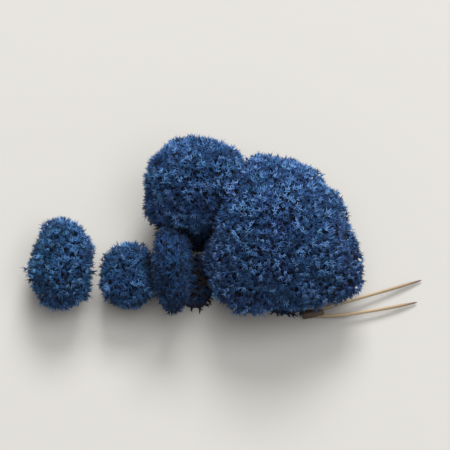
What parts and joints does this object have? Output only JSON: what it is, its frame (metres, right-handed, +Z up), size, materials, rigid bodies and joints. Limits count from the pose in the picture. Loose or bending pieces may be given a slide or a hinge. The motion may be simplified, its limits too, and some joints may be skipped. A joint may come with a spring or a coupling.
{
  "type": "reindeer moss clump",
  "caption": "Clump of dried, dyed reindeer moss: dense rounded heads of star-tipped branchlets on short forking stems, with a pair of dry pine needles caught under it.",
  "frame": {"origin": "middle of the flat underside of the large right head's foot, on the surface that the clump rests on", "axes": "+X along the row of heads, from the small left ones to the large right one; +Y from the front to the back; +Z up"},
  "size_m": [0.0856, 0.0386, 0.0382],
  "materials": {
    "dyed_lichen": "matt dyed lichen, dark blue with lighter tips",
    "dry_needle": "dry tan pine needle, faintly glossy"
  },
  "bodies": {
    "root": {"large_right_head": "dyed_lichen", "tall_left_head": "dyed_lichen", "front_middle_head": "dyed_lichen", "small_front_head": "dyed_lichen", "outer_left_head": "dyed_lichen", "pine_needle_pair": "dry_needle"}
  },
  "joints": []
}
